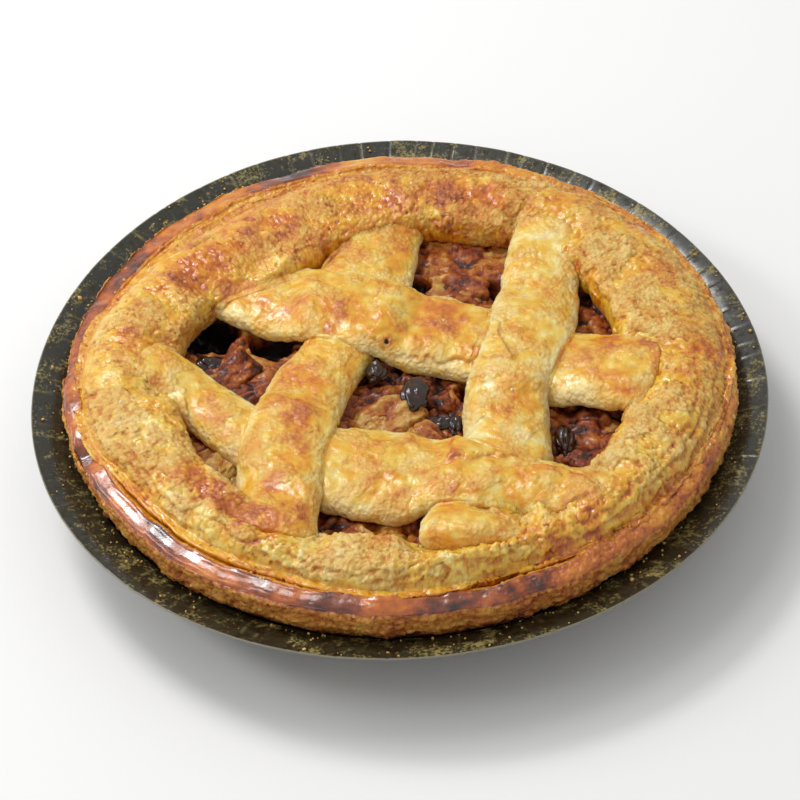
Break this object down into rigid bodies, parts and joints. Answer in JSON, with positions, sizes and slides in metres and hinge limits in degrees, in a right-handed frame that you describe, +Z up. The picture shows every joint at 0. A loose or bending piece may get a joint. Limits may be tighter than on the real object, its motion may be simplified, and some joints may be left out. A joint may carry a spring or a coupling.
{
  "type": "mini apple pie",
  "caption": "Small round apple pie with a woven lattice top and a rolled rim, in its shallow dark paperboard baking case.",
  "frame": {"origin": "centre of the baking case's flat base, on the surface it stands on", "axes": "+Z up, -Y towards the side that is served towards the eater, +X to that side's right"},
  "size_m": [0.13, 0.13, 0.0255],
  "materials": {
    "dark_board": "black coated paperboard, semi-gloss, greasy with golden crumbs",
    "baked_crust": "baked shortcrust, crumbly side, dark glossy caramelised edge",
    "stewed_apple": "soft stewed apple and raisins, wet with syrup",
    "baked_dough": "baked shortcrust, egg washed, crumbly with coarse sugar",
    "glazed_dough": "egg-washed shortcrust, golden and glossy with browned patches"
  },
  "bodies": {
    "root": {"baking_case": "dark_board", "pie_crust": "baked_crust", "apple_filling": "stewed_apple", "rolled_rim": "baked_dough", "lattice_left_upright": "glazed_dough", "lattice_right_upright": "glazed_dough", "lattice_back_cross": "glazed_dough", "lattice_front_cross": "glazed_dough"}
  },
  "joints": []
}
